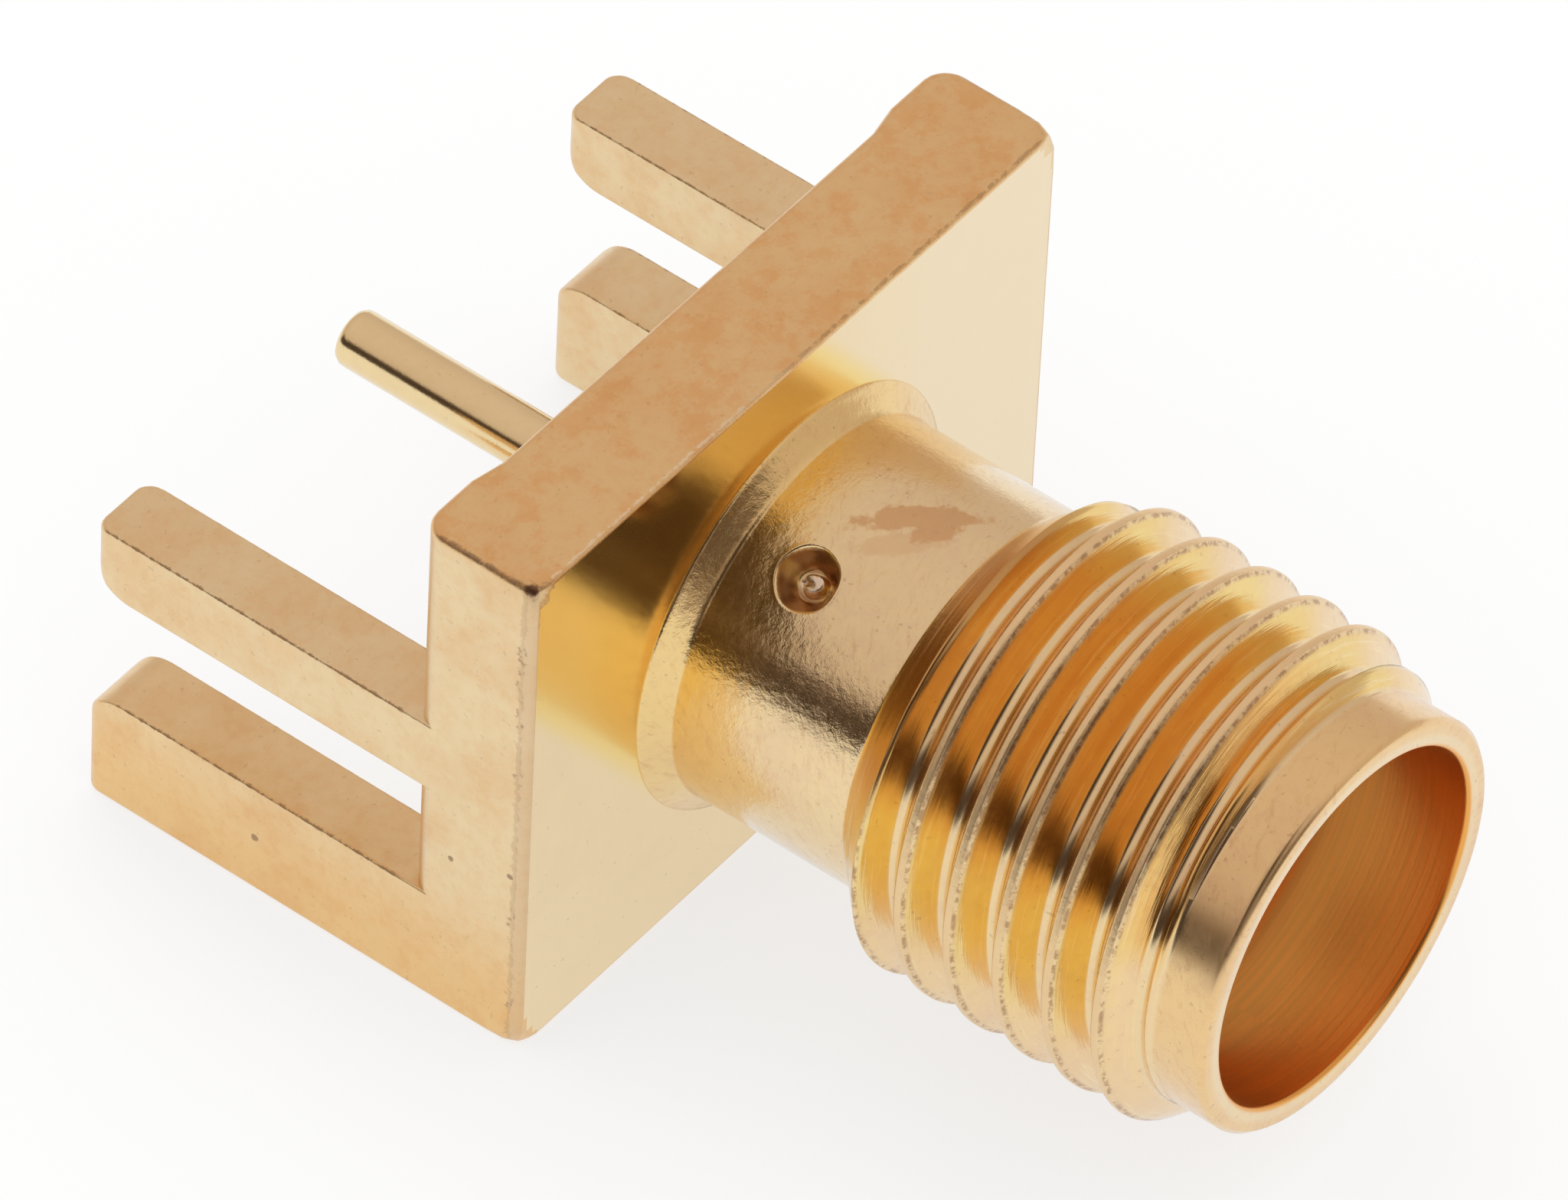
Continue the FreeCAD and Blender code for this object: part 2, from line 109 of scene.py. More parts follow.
def ring_row(bm, radius, reach, count=COLUMNS):
    """A circle of vertices round the barrel's axis."""
    return [bm.verts.new(on_barrel(radius, reach, 360 * i / count)) for i in range(count)]


def ring_rows(bm, outline, count=COLUMNS):
    """A circle of vertices for each (radius, reach) of an outline."""
    return [ring_row(bm, radius, reach, count) for radius, reach in outline]


def soft_min(a, b, width):
    """The smaller value, with its crossing rounded over a width."""
    mix = np.clip(0.5 + 0.5 * (b - a) / width, 0, 1)
    return b * (1 - mix) + a * mix - width * mix * (1 - mix)


def soft_max(a, b, width):
    """The larger value, with its crossing rounded over a width."""
    return -soft_min(-a, -b, width)


# Flange and legs, as a distance that a net of faces is drawn over
def both(a, b, radius):
    """Distance to what two solids share, their edge rounded to a radius."""
    over = np.hypot(np.maximum(radius + a, 0), np.maximum(radius + b, 0))
    return np.minimum(-radius, np.maximum(a, b)) + over


def leg_distance(x, y, z, floor, top, reach):
    """Distance to a pair of legs; each has its lead-in on the board's side."""
    side, inner, tip = x - FLANGE_X, RAIL_X - x, y - reach - TIP_LOSS
    plan = both(both(tip, side, TIP_CORNER), inner, TIP_CORNER)
    if floor == FLANGE_LOW:
        lead, flat = both(tip, z - top, LEAD_ROUND), floor - z
        low_edge = np.clip((floor + 0.5 - z) / 0.2, 0, 1)
    else:
        lead, flat = both(tip, floor - z, LEAD_ROUND), z - top
        low_edge = 0 * z
    near_tip = np.clip((y - reach + 0.28) / 0.2, 0, 1)
    broken = LEG_BREAK + (TIP_ROUND - LEG_BREAK) * near_tip
    return both(both(plan, lead, LEG_BREAK), flat, np.maximum(broken, BAR_ROUND * low_edge))


def flange_distance(x, y, z):
    """Distance in millimetres to the flange and its legs, below zero inside."""
    x = np.abs(x)
    rail = RAIL * np.clip((x - RAMP_X) / (RAIL_X - RAMP_X), 0, 1)
    block = both(x - FLANGE_X, y - rail, CORNER_ROUND)
    block = both(both(block, z - FLANGE_TOP, BAR_ROUND), FLANGE_LOW - z, BAR_ROUND)
    block = both(block, FLANGE_FRONT - y, EDGE_BREAK)
    ends = np.maximum(z - FLANGE_TOP, FLANGE_LOW - z)
    corner = ((x - FLANGE_X) + (FLANGE_FRONT - y) + ends) / math.sqrt(3) + CORNER_CUT
    block = both(block, corner, CORNER_CUT_ROUND)
    for floor, top, reach in LEG_BANDS:
        leg = np.maximum(leg_distance(x, y, z, floor, top, reach), -LEG_ROOT - y)
        block = np.minimum(block, leg)
    return block


def lines_along(spans):
    """Grid lines along one axis from (start, end, spacing) spans, none of them quite on a flat."""
    lines = [spans[0][0]]
    for start, end, spacing in spans:
        steps = max(1, int(math.ceil((end - start) / spacing)))
        lines += [start + (end - start) * i / steps for i in range(1, steps + 1)]
    off_the_flats = 0.0007
    return np.array(lines) + off_the_flats


def slope_at(places):
    """Unit direction in which the distance to the flange grows."""
    nudge = 2e-4
    parts = []
    for axis in range(3):
        shift = np.zeros(3)
        shift[axis] = nudge
        parts.append(flange_distance(*(places + shift).T) - flange_distance(*(places - shift).T))
    slope = np.array(parts).T
    return slope / np.maximum(np.linalg.norm(slope, axis=1, keepdims=True), 1e-12)


def flange_grid():
    """Grid lines across, along and upward, closest where an edge is rounded."""
    right = [(0.0, 2.25, 0.16), (2.25, 3.30, 0.35), (3.30, 3.52, 0.055), (3.52, 3.78, 0.13),
             (3.78, 3.94, 0.016), (3.94, 4.10, 0.04), (4.10, 4.54, 0.22), (4.54, 4.66, 0.03),
             (4.66, 4.83, 0.0155)]
    left = [(-end, -start, spacing) for start, end, spacing in right[::-1]]
    along = [(-1.645, -1.53, 0.0145), (-1.53, -0.30, 0.32), (-0.30, -0.02, 0.035), (-0.02, 0.14, 0.016),
             (0.14, 4.18, 0.5), (4.18, 4.60, 0.03), (4.60, 4.88, 0.0155)]
    upward = [(-3.79, -3.63, 0.0155), (-3.63, -2.66, 0.25), (-2.66, -2.12, 0.032), (-2.12, -2.02, 0.016),
              (-2.02, -0.34, 0.16), (-0.34, -0.24, 0.016), (-0.24, 0.28, 0.032), (0.28, 0.62, 0.12),
              (0.62, 0.77, 0.0155), (0.77, 2.25, 0.16), (2.25, 3.77, 0.32), (3.77, 3.94, 0.0155)]
    return [lines_along(spans) for spans in (left + right, along, upward)]


def cell_points(grid, cells):
    """The point of each cell that the surface crosses, drawn onto the surface."""
    at = np.argwhere(cells)
    low = np.column_stack([lines[at[:, axis]] for axis, lines in enumerate(grid)])
    high = np.column_stack([lines[at[:, axis] + 1] for axis, lines in enumerate(grid)])
    places = (low + high) / 2
    for _ in range(6):
        places = places - slope_at(places) * flange_distance(*places.T)[:, None]
        places = np.clip(places, low, high)
    for _ in range(2):
        places = places - slope_at(places) * flange_distance(*places.T)[:, None]
    return places


def make_flange():
    """Points and faces of the flange with its four board legs, every edge broken."""
    grid = flange_grid()
    inside = flange_distance(*np.meshgrid(*grid, indexing="ij")) < 0
    wide, deep, tall = (size - 1 for size in inside.shape)
    held = sum(inside[i:wide + i, j:deep + j, k:tall + k].astype(int)
               for i in (0, 1) for j in (0, 1) for k in (0, 1))
    cells = (held > 0) & (held < 8)
    number = np.full(cells.shape, -1)
    number[cells] = np.arange(cells.sum())
    faces = []
    for axis in range(3):
        first, second = [other for other in range(3) if other != axis]
        before = np.moveaxis(inside, axis, 0)[:-1]
        after = np.moveaxis(inside, axis, 0)[1:]
        for spot in np.argwhere(before != after):
            index = [0, 0, 0]
            index[axis], index[first], index[second] = spot
            ring = []
            for a, b in ((-1, -1), (0, -1), (0, 0), (-1, 0)):
                near = list(index)
                near[first] += a
                near[second] += b
                ring.append(int(number[tuple(near)]))
            faces.append(ring if before[tuple(spot)] == (axis != 1) else ring[::-1])
    return cell_points(grid, cells), faces


def from_axis(place):
    """How far a place is from the barrel's axis."""
    return math.hypot(place.x, place.z)


def open_rear(bm):
    """Cuts the round hole for the sleeve in the flange's rear face."""
    rear = [face for face in bm.faces if face.normal.y > 0.99 and abs(face.calc_center_median().y) < 0.01]
    inner = [face for face in rear if from_axis(face.calc_center_median()) < SLEEVE_R]
    bmesh.ops.delete(bm, geom=inner, context="FACES")
    for vert in {v for edge in bm.edges if edge.is_boundary for v in edge.verts}:
        reach = from_axis(vert.co)
        vert.co.x *= SLEEVE_R / reach
        vert.co.z *= SLEEVE_R / reach


def merge_flats(bm):
    """Joins the faces of each flat of the flange and legs into one."""
    flats = {}
    for face in bm.faces:
        for axis in range(3):
            values = [vert.co[axis] for vert in face.verts]
            if max(values) - min(values) < 1e-5:
                on_right = face.calc_center_median().x > 0
                flats.setdefault((axis, round(values[0], 3), on_right), []).append(face)
                break
    fewest = 40
    for faces in flats.values():
        if len(faces) > fewest:
            bmesh.ops.dissolve_faces(bm, faces=faces, use_verts=False)


# Barrel
def thread_radius(reach, degrees):
    """The barrel's radius in the threaded length: groove, crests and both chamfers."""
    centre = GROOVE_Y - PITCH * (degrees - 180) / 360
    away = (reach - centre) / PITCH
    away = np.abs(away - np.round(away)) * PITCH
    flank = ROOT_FLAT / 2 + (CREST_R - ROOT_R) * FLANK_SLOPE
    depth = (flank - away) / FLANK_SLOPE
    depth = soft_min(soft_max(depth, 0 * depth, CREST_SOFT), CREST_R - ROOT_R + 0 * depth, ROOT_SOFT)
    cone = np.minimum(NECK_R + (NECK_END - reach), NOSE_R + (reach - NOSE_START))
    to_end = np.minimum(NECK_END - reach, reach - NOSE_START)
    return soft_min(CREST_R - depth, cone, np.clip(to_end * 0.4, 0.001, 0.03))


def add_thread(bm):
    """The threaded length, its rows following the helix and stopping at both ends."""
    # From the groove's middle to the crest, closest where the profile bends.
    half = [0.0, 0.045, 0.066, 0.09, 0.13, 0.18, 0.235, 0.273, 0.291, 0.308, 0.325, 0.341]
    offsets = [-away for away in half[:0:-1]] + half + [PITCH / 2]
    turns = int(math.ceil((NECK_END - NOSE_START) / PITCH)) + 2
    start = GROOVE_Y + PITCH * 180 / 360 + PITCH
    rows = [start - PITCH * turn - away for turn in range(turns + 1) for away in offsets]
    rows = np.array(rows + [start - PITCH * (turns + 1) - offsets[0]])
    turned_by = np.linspace(0, 360, COLUMNS + 1)
    spread = rows[:, None] - PITCH * turned_by[None, :] / 360
    held = np.clip(spread, NOSE_START, NECK_END)
    radius = thread_radius(held, np.broadcast_to(turned_by, held.shape))
    radius = np.where(held >= NECK_END, NECK_R, np.where(held <= NOSE_START, NOSE_R, radius))
    vertices = {}

    def vertex(row, column):
        """The vertex of a row and column; equal places share one."""
        reach = float(held[row, column])
        key = (column % COLUMNS, round(reach, 5))
        if key not in vertices:
            place = on_barrel(float(radius[row, column]), reach, turned_by[column] % 360)
            vertices[key] = bm.verts.new(place)
        return vertices[key]

    for row in range(len(rows) - 1):
        for column in range(COLUMNS):
            if (held[row, column:column + 2] == held[row + 1, column:column + 2]).all():
                continue
            corners = [vertex(row, column), vertex(row, column + 1),
                       vertex(row + 1, column + 1), vertex(row + 1, column)]
            corners = [corner for i, corner in enumerate(corners) if corner not in corners[:i]]
            if len(corners) > 2:
                bm.faces.new(corners)
    return [[vertices[(i, round(end, 5))] for i in range(COLUMNS)] for end in (NECK_END, NOSE_START)]


def stake_depth(across, along):
    """How deep the punched mark goes below the neck, at a place seen square on."""
    away = np.hypot(across, along)
    angle = np.arctan2(along, across)
    rim = STAKE_R + 0.012 * np.cos(2 * angle + 0.6) + 0.005 * np.sin(5 * angle)
    slope = (rim - away) / STAKE_WALL * STAKE_DEPTH
    depth = soft_min(soft_max(slope, 0 * slope, 0.02), STAKE_DEPTH + 0 * slope, 0.03)
    nub = np.hypot(across + 0.01, along + 0.035) / (NUB_R + 0.012 * np.cos(3 * angle))
    lift = NUB_RISE * np.clip(1.25 * (1 - nub ** 4), 0, 1)
    notch = 0.10 * np.exp(-((across - 0.02) / 0.03) ** 2 - ((along - 0.06) / 0.06) ** 2)
    lip = 0.005 * np.exp(-((away - rim - 0.02) / 0.025) ** 2)
    return depth - np.minimum(lift, depth) + notch - lip


def add_stake(bm, border):
    """The punched mark, in rings that run from a window's border in the neck to its middle."""
    flat = []
    for vert in border:
        degrees = math.degrees(math.atan2(vert.co.z, vert.co.x))
        flat.append((math.radians(degrees - STAKE_ANGLE) * NECK_R, vert.co.y - STAKE_Y))
    radii = [0.47, 0.44, 0.425, 0.412, 0.402, 0.394, 0.386, 0.375, 0.36, 0.335, 0.31, 0.285, 0.26, 0.245,
             0.232, 0.22, 0.205, 0.19, 0.178, 0.168, 0.158, 0.145, 0.125, 0.10, 0.075, 0.05, 0.025]
    loops = [border]
    for away in radii:
        loop = []
        for across, along in flat:
            length = math.hypot(across, along)
            place = (across / length * away, along / length * away)
            depth = float(stake_depth(*place))
            degrees = STAKE_ANGLE + math.degrees(place[0] / NECK_R)
            loop.append(bm.verts.new(on_barrel(NECK_R - depth, STAKE_Y + place[1], degrees)))
        loops.append(loop)
    grid_faces(bm, loops)
    centre = bm.verts.new(on_barrel(NECK_R - float(stake_depth(0.0, 0.0)), STAKE_Y, STAKE_ANGLE))
    for index, vert in enumerate(loops[-1]):
        bm.faces.new((vert, loops[-1][(index + 1) % len(loops[-1])], centre))


def add_neck(bm, end_row):
    """The root cone and the neck with the punched mark, up to the thread's first row."""
    outline = [(RING_R, FLANGE_FRONT + 0.03), (RING_R, FLANGE_FRONT - 0.005),
               (RING_R - 0.012, FLANGE_FRONT - 0.025)]
    outline += [(RING_R + (NECK_R - RING_R) * share, FLANGE_FRONT + (RING_END - FLANGE_FRONT) * share)
                for share in (0.2, 0.4, 0.6, 0.8, 0.94)]
    outline += [(NECK_R + 0.002, RING_END - 0.012), (NECK_R, RING_END - 0.04), (NECK_R, -2.02),
                (NECK_R, -2.15)]
    rows = ring_rows(bm, outline)
    window_rows, half_columns, half_reach = 20, 10, 0.53
    middle = round(STAKE_ANGLE / 360 * COLUMNS)
    first, last = middle - half_columns, middle + half_columns
    top, bottom = STAKE_Y + half_reach, STAKE_Y - half_reach
    lines = ring_rows(bm, [(NECK_R, top + (bottom - top) * i / window_rows) for i in range(window_rows + 1)])
    grid_faces(bm, rows + [lines[0]])
    for upper, lower in zip(lines, lines[1:]):
        for index in range(COLUMNS):
            if first <= index < last:
                continue
            after = (index + 1) % COLUMNS
            bm.faces.new((upper[index], upper[after], lower[after], lower[index]))
    border = [lines[0][i] for i in range(first, last)]
    border += [lines[i][last] for i in range(window_rows)]
    border += [lines[-1][i] for i in range(last, first, -1)]
    border += [lines[i][first] for i in range(window_rows, 0, -1)]
    add_stake(bm, border)
    tail = ring_rows(bm, [(NECK_R, reach) for reach in (-3.55, -3.8, -4.05, -4.25, -4.35)])
    grid_faces(bm, [lines[-1]] + tail + [end_row])


def add_nose_and_bore(bm, start_row):
    """The nose, the rim and the stepped bore back to the flange."""
    outline = [(NOSE_R, reach) for reach in (-8.97, -9.02, -9.12, -9.25, -9.4, -9.52, -9.58)]
    outline += [(NOSE_R - 0.004, -9.594), (NOSE_R - 0.035, -9.628), (NOSE_R - 0.062, MOUTH + 0.004),
                (NOSE_R - 0.08, MOUTH), (2.50, MOUTH), (BORE_R + 0.055, MOUTH),
                (BORE_R + 0.034, MOUTH + 0.005), (BORE_R + 0.014, MOUTH + 0.022),
                (BORE_R + 0.003, MOUTH + 0.04), (BORE_R, MOUTH + 0.06)]
    outline += [(BORE_R, reach) for reach in np.linspace(MOUTH + 0.15, BORE_END - 0.04, 12)]
    outline += [(BORE_R - 0.006, BORE_END - 0.012), (BORE_R - 0.02, BORE_END), (SLEEVE_R + 0.06, BORE_END),
                (SLEEVE_R + 0.012, BORE_END + 0.004), (SLEEVE_R, BORE_END + 0.02), (SLEEVE_R, -6.0),
                (SLEEVE_R, -4.0), (SLEEVE_R, FLANGE_FRONT + 0.05)]
    grid_faces(bm, [start_row] + ring_rows(bm, outline))


def make_barrel():
    """The turned half of the body: root cone, neck, thread, nose and bore."""
    bm = bmesh.new()
    rear, front = add_thread(bm)
    add_neck(bm, rear)
    add_nose_and_bore(bm, front)
    return mesh_object("socket_body_look", bm)


def make_block():
    """The milled half of the body, flange and legs, with its slopes at every point."""
    places, faces = make_flange()
    bm = bmesh.new()
    verts = [bm.verts.new(place) for place in places]
    for face in faces:
        bm.faces.new([verts[i] for i in face])
    bm.normal_update()
    open_rear(bm)
    merge_flats(bm)
    bm.verts.index_update()
    bm.normal_update()
    block = np.array([vert.co for vert in bm.verts])
    return bm, block, slope_at(block.astype(float))


def make_socket_body():
    """The plated body in one piece, and how many of its faces are the barrel's."""
    body = make_barrel()
    bm, block, slopes = make_block()
    shift = len(body.data.vertices)
    points = [tuple(v.co) for v in body.data.vertices] + [tuple(p * MM) for p in block]
    loops = [tuple(face.vertices) for face in body.data.polygons]
    turned_faces = len(loops)
    turned_normals = [tuple(v.vector) for v in body.data.vertex_normals]
    normals = [turned_normals[i] for loop in loops for i in loop]
    for face in bm.faces:
        flat = np.array(face.normal)
        loops.append(tuple(v.index + shift for v in face.verts))
        normals += [tuple(slopes[v.index] if slopes[v.index] @ flat > 0.8 else flat) for v in face.verts]
    bm.free()
    whole = bpy.data.meshes.new("socket_body_look")
    whole.from_pydata(points, [], loops)
    for face in whole.polygons:
        face.use_smooth = True
    whole.normals_split_custom_set(normals)
    body.data = whole
    return body, turned_faces


# Insulator and contact
def make_insulator():
    """The white sleeve between the body and the contact."""
    outer, bore, bevel = SLEEVE_R - 0.005, 0.642, 0.645
    outline = [(bevel, BORE_END), (0.70, BORE_END), (1.3, BORE_END), (outer - 0.095, BORE_END),
               (outer - 0.06, BORE_END + 0.006), (outer - 0.005, BORE_END + 0.06), (outer, BORE_END + 0.08),
               (outer, -4.0), (outer, -0.08), (outer - 0.005, -0.06), (outer - 0.06, -0.006),
               (outer - 0.095, 0.0), (1.3, 0.0), (0.66, 0.0), (bevel, -0.01), (bore, -4.0),
               (bevel, BORE_END + 0.01)]
    bm = bmesh.new()
    rows = ring_rows(bm, outline, SLEEVE_COLUMNS)
    grid_faces(bm, rows[::-1] + [rows[-1]])
    return mesh_object("insulator_look", bm)


def make_contact():
    """The contact: a socket in front and the solder pin behind, both ends closed on the axis."""
    socket_floor = -5.03
    outline = [(0.30, socket_floor), (0.46, -5.10), (SOCKET_R, -5.2), (SOCKET_R, -7.5),
               (SOCKET_R + 0.005, -7.55), (0.50, -7.60), (0.53, -7.63), (0.56, -7.625), (0.60, -7.59),
               (CONTACT_R - 0.005, -7.53), (CONTACT_R, -7.50), (CONTACT_R, -4.0), (CONTACT_R, 0.0),
               (0.60, 0.0), (PIN_R + 0.005, 0.0), (PIN_R, 0.01), (PIN_R, 2.4), (PIN_R, 4.70),
               (PIN_R - 0.008, 4.76), (PIN_R - 0.035, 4.805),
               (PIN_R - 0.07, 4.825), (PIN_R - 0.12, PIN_END)]
    bm = bmesh.new()
    rows = ring_rows(bm, outline, CONTACT_COLUMNS)
    grid_faces(bm, rows)
    for row, reach, way in ((rows[0], socket_floor, -1), (rows[-1], PIN_END, 1)):
        tip = bm.verts.new((0, reach, 0))
        for index in range(CONTACT_COLUMNS):
            ends = (row[index], row[(index + 1) % CONTACT_COLUMNS])
            bm.faces.new((tip, *ends[::way]))
    return mesh_object("center_contact_look", bm)


# Node helpers
def node(tree, kind, inputs=None, **settings):
    """Adds a node with its settings; inputs are constants or sockets, by name or number."""
    made = tree.nodes.new(kind)
    for name, setting in settings.items():
        setattr(made, name, setting)
    for key, source in (inputs or {}).items():
        if isinstance(source, bpy.types.NodeSocket):
            tree.links.new(source, made.inputs[key])
        else:
            made.inputs[key].default_value = source
    return made


def calc(tree, way, *terms, clamp=False):
    """A math node's result."""
    made = node(tree, "ShaderNodeMath", dict(enumerate(terms)), operation=way, use_clamp=clamp)
    return made.outputs[0]


def chain(tree, way, first, *others):
    """Values worked together one after another."""
    for other in others:
        first = calc(tree, way, first, other)
    return first


def product(tree, *terms):
    """Values multiplied together."""
    return chain(tree, "MULTIPLY", *terms)


def total(tree, *terms):
    """Values added together."""
    return chain(tree, "ADD", *terms)


def greatest(tree, *terms):
    """The greatest of some values."""
    return chain(tree, "MAXIMUM", *terms)


def minus(tree, first, second):
    """One value less another."""
    return calc(tree, "SUBTRACT", first, second)


def span(tree, a, b):
    """How far apart two places are that differ by a one way and by b square to it."""
    return calc(tree, "SQRT", total(tree, product(tree, a, a), product(tree, b, b)))


def distance(tree, place, spot):
    """How far a place is from a spot."""
    return node(tree, "ShaderNodeVectorMath", {0: place, 1: spot}, operation="DISTANCE").outputs[1]


def blend(tree, share, first, second, way="MIX"):
    """Two colours mixed by a share."""
    made = node(tree, "ShaderNodeMix", {0: share, 6: first, 7: second}, data_type="RGBA", blend_type=way)
    return made.outputs[2]


def layer(tree, colour, mask, amount, shade, way="MIX"):
    """A shade laid over a colour where a mask is 1, as strongly as an amount says."""
    return blend(tree, product(tree, mask, amount), colour, shade, way)


def step(tree, value, start, end):
    """0 before start, 1 after end, smooth between; start may be above end."""
    made = node(tree, "ShaderNodeMapRange", {0: value, 1: start, 2: end}, interpolation_type="SMOOTHSTEP")
    return made.outputs[0]


def noise(tree, where, scale, detail=2.0, rough=0.5, distortion=0.0):
    """Noise from 0 to 1."""
    made = node(tree, "ShaderNodeTexNoise", {"Vector": where, "Scale": scale, "Detail": detail,
                                             "Roughness": rough, "Distortion": distortion})
    return made.outputs[0]


def new_group(name, inputs, outputs):
    """A node group with named inputs and outputs, and its two end nodes."""
    tree = bpy.data.node_groups.new(name, "ShaderNodeTree")
    for label, kind, start in inputs:
        socket = tree.interface.new_socket(label, in_out="INPUT", socket_type=kind)
        if start is not None:
            socket.default_value = start
    for label, kind in outputs:
        tree.interface.new_socket(label, in_out="OUTPUT", socket_type=kind)
    return tree, tree.nodes.new("NodeGroupInput").outputs, tree.nodes.new("NodeGroupOutput").inputs


def put_out(tree, out, results):
    """Joins results to a group's outputs by name."""
    for name, source in results.items():
        tree.links.new(source, out[name])


def use(tree, group, inputs=None):
    """The outputs of a node group placed in a tree."""
    return node(tree, "ShaderNodeGroup", inputs, node_tree=group).outputs


# Node groups that the platings share
FLOAT, VECTOR, COLOR = "NodeSocketFloat", "NodeSocketVector", "NodeSocketColor"
SPECK_BROWN = (0.16, 0.08, 0.035, 1)


def place_group():
    """Where a point lies, in millimetres and round the barrel."""
    tree, _, out = new_group("place_on_socket", [], [
        ("Place", VECTOR), ("X", FLOAT), ("Reach", FLOAT), ("Height", FLOAT), ("Radius", FLOAT),
        ("Angle", FLOAT), ("Turn", FLOAT)])
    where = node(tree, "ShaderNodeTexCoord").outputs["Object"]
    place = node(tree, "ShaderNodeVectorMath", {0: where, 3: 1 / MM}, operation="SCALE").outputs[0]
    x, y, z = node(tree, "ShaderNodeSeparateXYZ", {0: place}).outputs
    angle = calc(tree, "DEGREES", calc(tree, "ARCTAN2", z, x))
    turn = calc(tree, "DEGREES", calc(tree, "ARCTAN2", product(tree, x, -1.0), z))
    put_out(tree, out, {"Place": place, "X": x, "Reach": y, "Height": z, "Radius": span(tree, x, z),
                        "Angle": angle, "Turn": turn})
    return tree


def tone_group():
    """The plating's colour: cloudy patches, fine mottling and dark specks."""
    tree, given, out = new_group("plating_tone", [
        ("Place", VECTOR, None), ("Clean", COLOR, (0.9, 0.68, 0.29, 1)), ("Dull", COLOR, (0.7, 0.45, 0.2, 1)),
        ("Cloud", FLOAT, 0.3), ("Mottle", FLOAT, 0.2), ("Speck", FLOAT, 0.2)],
        [("Color", COLOR), ("Dullness", FLOAT), ("Grain", FLOAT)])
    place = given["Place"]
    cloud = step(tree, noise(tree, place, 0.9, 3.0, 0.55), 0.42, 0.68)
    mottle = step(tree, noise(tree, place, 5.5, 5.0, 0.65), 0.44, 0.66)
    speck = step(tree, noise(tree, place, 13.0, 1.0, 0.4), 0.71, 0.76)
    dull = calc(tree, "ADD", product(tree, cloud, given["Cloud"]), product(tree, mottle, given["Mottle"]),
                clamp=True)
    colour = blend(tree, dull, given["Clean"], given["Dull"])
    colour = layer(tree, colour, speck, given["Speck"], SPECK_BROWN)
    put_out(tree, out, {"Color": colour, "Dullness": dull, "Grain": noise(tree, place, 26.0, 3.0, 0.6)})
    return tree


def edge_group():
    """A ragged line along the edge where two faces meet."""
    tree, given, out = new_group("edge_line", [
        ("Place", VECTOR, None), ("First", FLOAT, 0.0), ("Second", FLOAT, 0.0), ("Width", FLOAT, 0.05),
        ("Ragged", FLOAT, 0.5), ("Dots", FLOAT, 9.0)], [("Line", FLOAT)])
    away = span(tree, given["First"], given["Second"])
    wave = minus(tree, noise(tree, given["Place"], given["Dots"], 4.0, 0.7), 0.5)
    swing = total(tree, 1.0, product(tree, wave, product(tree, given["Ragged"], 6.0)))
    width = greatest(tree, product(tree, given["Width"], swing), 0.0005)
    put_out(tree, out, {"Line": step(tree, calc(tree, "DIVIDE", away, width), 1.3, 0.6)})
    return tree


def turning_group():
    """Fine marks that a lathe tool leaves round the barrel, as a height."""
    tree, given, out = new_group("turning_marks", [
        ("Reach", FLOAT, 0.0), ("Radius", FLOAT, 0.0), ("Turn", FLOAT, 0.0), ("Density", FLOAT, 18.0)],
        [("Height", FLOAT), ("Band", FLOAT)])
    round_it = product(tree, given["Turn"], 0.0024)
    along = total(tree, given["Reach"], product(tree, given["Turn"], PITCH / 360))
    where = node(tree, "ShaderNodeCombineXYZ", {0: round_it, 1: along, 2: given["Radius"]}).outputs[0]
    put_out(tree, out, {"Height": noise(tree, where, given["Density"], 3.0, 0.65),
                        "Band": noise(tree, where, product(tree, given["Density"], 0.35), 2.0, 0.5)})
    return tree


PLACE, TONE, EDGE, TURNING = place_group(), tone_group(), edge_group(), turning_group()


# Materials
def new_material(name):
    """An empty material with one surface shader."""
    material = bpy.data.materials.new(name)
    material.use_nodes = True
    tree = material.node_tree
    shader = tree.nodes["Principled BSDF"]
    return material, tree, shader


def finish_surface(tree, shader, colour, roughness, height, depth):
    """Joins colour, roughness and bump to the shader; depth is in millimetres."""
    tree.links.new(colour, shader.inputs["Base Color"])
    tree.links.new(roughness, shader.inputs["Roughness"])
    bump = node(tree, "ShaderNodeBump", {"Strength": 1.0, "Distance": depth * MM, "Height": height})
    tree.links.new(bump.outputs[0], shader.inputs["Normal"])


def coat(shader, weight, rough):
    """The thin clear passivation that pales the plating where it is seen at a slant."""
    shader.inputs["Metallic"].default_value = 1.0
    shader.inputs["Coat Weight"].default_value = weight
    shader.inputs["Coat Roughness"].default_value = rough
    shader.inputs["Coat IOR"].default_value = 1.5


def plating_tone(tree, at, clean, dull, cloud, mottle, speck):
    """The plating's own colour, with its clouds, mottling and specks."""
    return use(tree, TONE, {"Place": at["Place"], "Clean": clean, "Dull": dull, "Cloud": cloud,
                            "Mottle": mottle, "Speck": speck})


def turning_marks(tree, at, turn, density):
    """The marks of a lathe tool on a turned piece."""
    return use(tree, TURNING, {"Reach": at["Reach"], "Radius": at["Radius"], "Turn": turn,
                               "Density": density})


def edge_lines(tree, at, pairs):
    """Ragged lines along several edges, worn ones and one painted highlight: (first distance, second
    distance, width, ragged) each.
    """
    lines = [use(tree, EDGE, {"Place": at["Place"], "First": first, "Second": second, "Width": width,
                              "Ragged": ragged})["Line"] for first, second, width, ragged in pairs]
    return greatest(tree, *lines)


